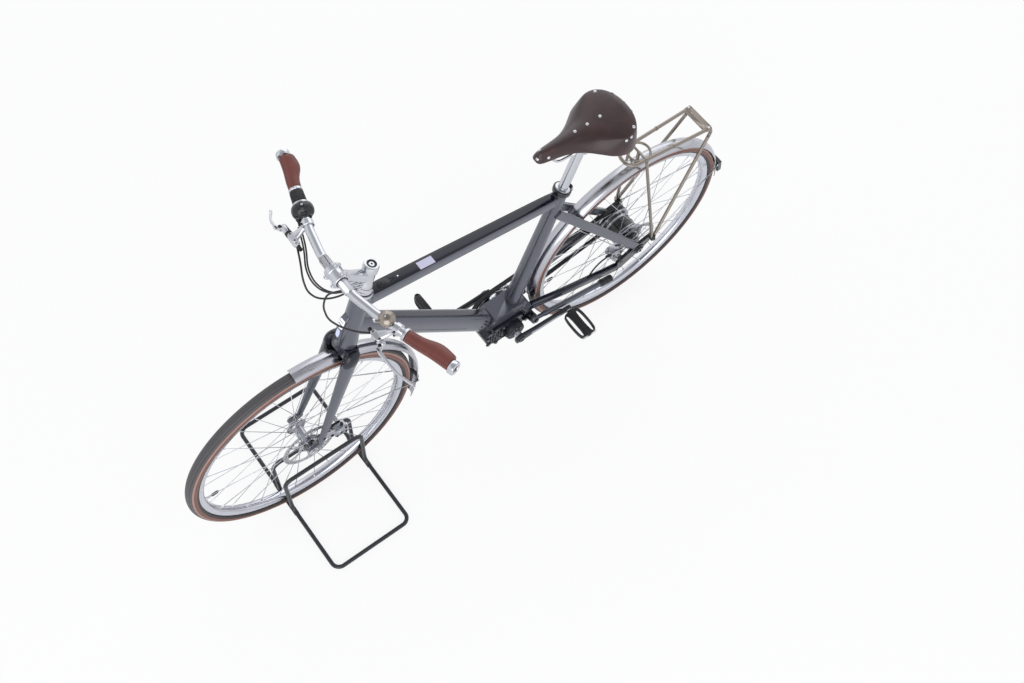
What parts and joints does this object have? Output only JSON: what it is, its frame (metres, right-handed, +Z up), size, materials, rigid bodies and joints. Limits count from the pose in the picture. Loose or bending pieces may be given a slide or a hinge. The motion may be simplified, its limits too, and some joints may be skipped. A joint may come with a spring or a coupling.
{
  "type": "electric bicycle",
  "caption": "City electric bicycle with belt drive, disc brakes, leather saddle and grips, rear rack and metal mudguards, its front wheel held in a wire floor stand.",
  "frame": {"origin": "on the floor, under the middle of the overall box", "axes": "+X forward, +Y to the rider's left, +Z up"},
  "size_m": [1.822, 0.7034, 1.05],
  "materials": {
    "frame_paint": "satin metallic paint",
    "dark_paint": "satin dark paint",
    "black_paint": "gloss black paint",
    "motor_case": "matte black housing",
    "aluminium": "brushed",
    "polished": "polished",
    "steel": "bright wire",
    "chrome": "polished",
    "brass": "polished",
    "rack_paint": "satin champagne paint",
    "saddle_leather": "waxed",
    "grip_leather": "waxed",
    "belt": "moulded",
    "hose": "satin",
    "black_plastic": "moulded",
    "red_lens": "clear gloss",
    "tyre": "moulded tread with brown sidewalls"
  },
  "bodies": {
    "frame": {"head_tube": "frame_paint", "headlamp": "black_paint", "top_tube": "frame_paint", "down_tube": "frame_paint", "seat_tube": "frame_paint", "motor_bracket": "frame_paint", "drive_unit": "motor_case", "chainstays": "dark_paint", "seatstays": "frame_paint", "dropouts": "black_paint", "seat_collar": "black_paint", "seatpost": "aluminium", "saddle": "saddle_leather", "saddle_rails": "chrome", "rear_mudguard": "aluminium", "rear_guard_stays": "steel", "tail_lamp": "red_lens", "rack_deck": "rack_paint", "rack_rear_struts": "rack_paint", "rack_front_struts": "rack_paint", "drive_belt": "belt", "rear_axle": "steel", "rear_caliper": "aluminium", "frame_cables": "hose", "kickstand_mount": "black_paint"},
    "steering": {"fork_crown": "black_paint", "fork_blades": "frame_paint", "front_axle": "steel", "stem": "polished", "handlebar": "polished", "left_grip": "grip_leather", "right_grip": "grip_leather", "bar_ends": "polished", "gear_shifter": "black_plastic", "left_brake_lever": "polished", "right_brake_lever": "polished", "bell": "brass", "front_mudguard": "aluminium", "front_guard_stays": "steel", "front_caliper": "aluminium", "handlebar_cables": "hose", "wire_stand_left": "black_paint", "wire_stand_right": "black_paint"},
    "front_wheel": {"front_tyre": "tyre", "front_rim": "aluminium", "front_spokes": "steel", "front_hub": "aluminium", "front_disc": "steel"},
    "rear_wheel": {"rear_tyre": "tyre", "rear_rim": "aluminium", "rear_spokes": "steel", "rear_hub": "motor_case", "rear_disc": "steel", "rear_sprocket": "steel"},
    "crank": {"crankset": "dark_paint", "front_sprocket": "steel"},
    "left_pedal_body": {"left_pedal": "black_plastic"},
    "right_pedal_body": {"right_pedal": "black_plastic"},
    "kickstand_body": {"kickstand": "aluminium"}
  },
  "joints": [
    {"name": "steering_turn", "type": "hinge", "parent": "frame", "child": "steering", "pos_m": [0.39351, 0, 0.69968], "axis": [-0.3256, 0, 0.9455], "range_deg": [-60, 60]},
    {"name": "front_wheel_spin", "type": "hinge", "parent": "steering", "child": "front_wheel", "pos_m": [0.565, 0, 0.346], "axis": [0, 1, 0], "continuous": true},
    {"name": "rear_wheel_spin", "type": "hinge", "parent": "frame", "child": "rear_wheel", "pos_m": [-0.545, 0, 0.346], "axis": [0, 1, 0], "continuous": true},
    {"name": "crank_spin", "type": "hinge", "parent": "frame", "child": "crank", "pos_m": [-0.107, 0, 0.288], "axis": [0, 1, 0], "continuous": true},
    {"name": "left_pedal_spin", "type": "hinge", "parent": "crank", "child": "left_pedal_body", "pos_m": [-0.27684, 0.093, 0.28058], "axis": [0, 1, 0], "continuous": true},
    {"name": "right_pedal_spin", "type": "hinge", "parent": "crank", "child": "right_pedal_body", "pos_m": [0.06284, -0.093, 0.29541], "axis": [0, 1, 0], "continuous": true},
    {"name": "kickstand_swing", "type": "hinge", "parent": "frame", "child": "kickstand_body", "pos_m": [-0.175, 0.062, 0.292], "axis": [0.1254, -0.9886, -0.0836], "range_deg": [0, 94.7]}
  ]
}
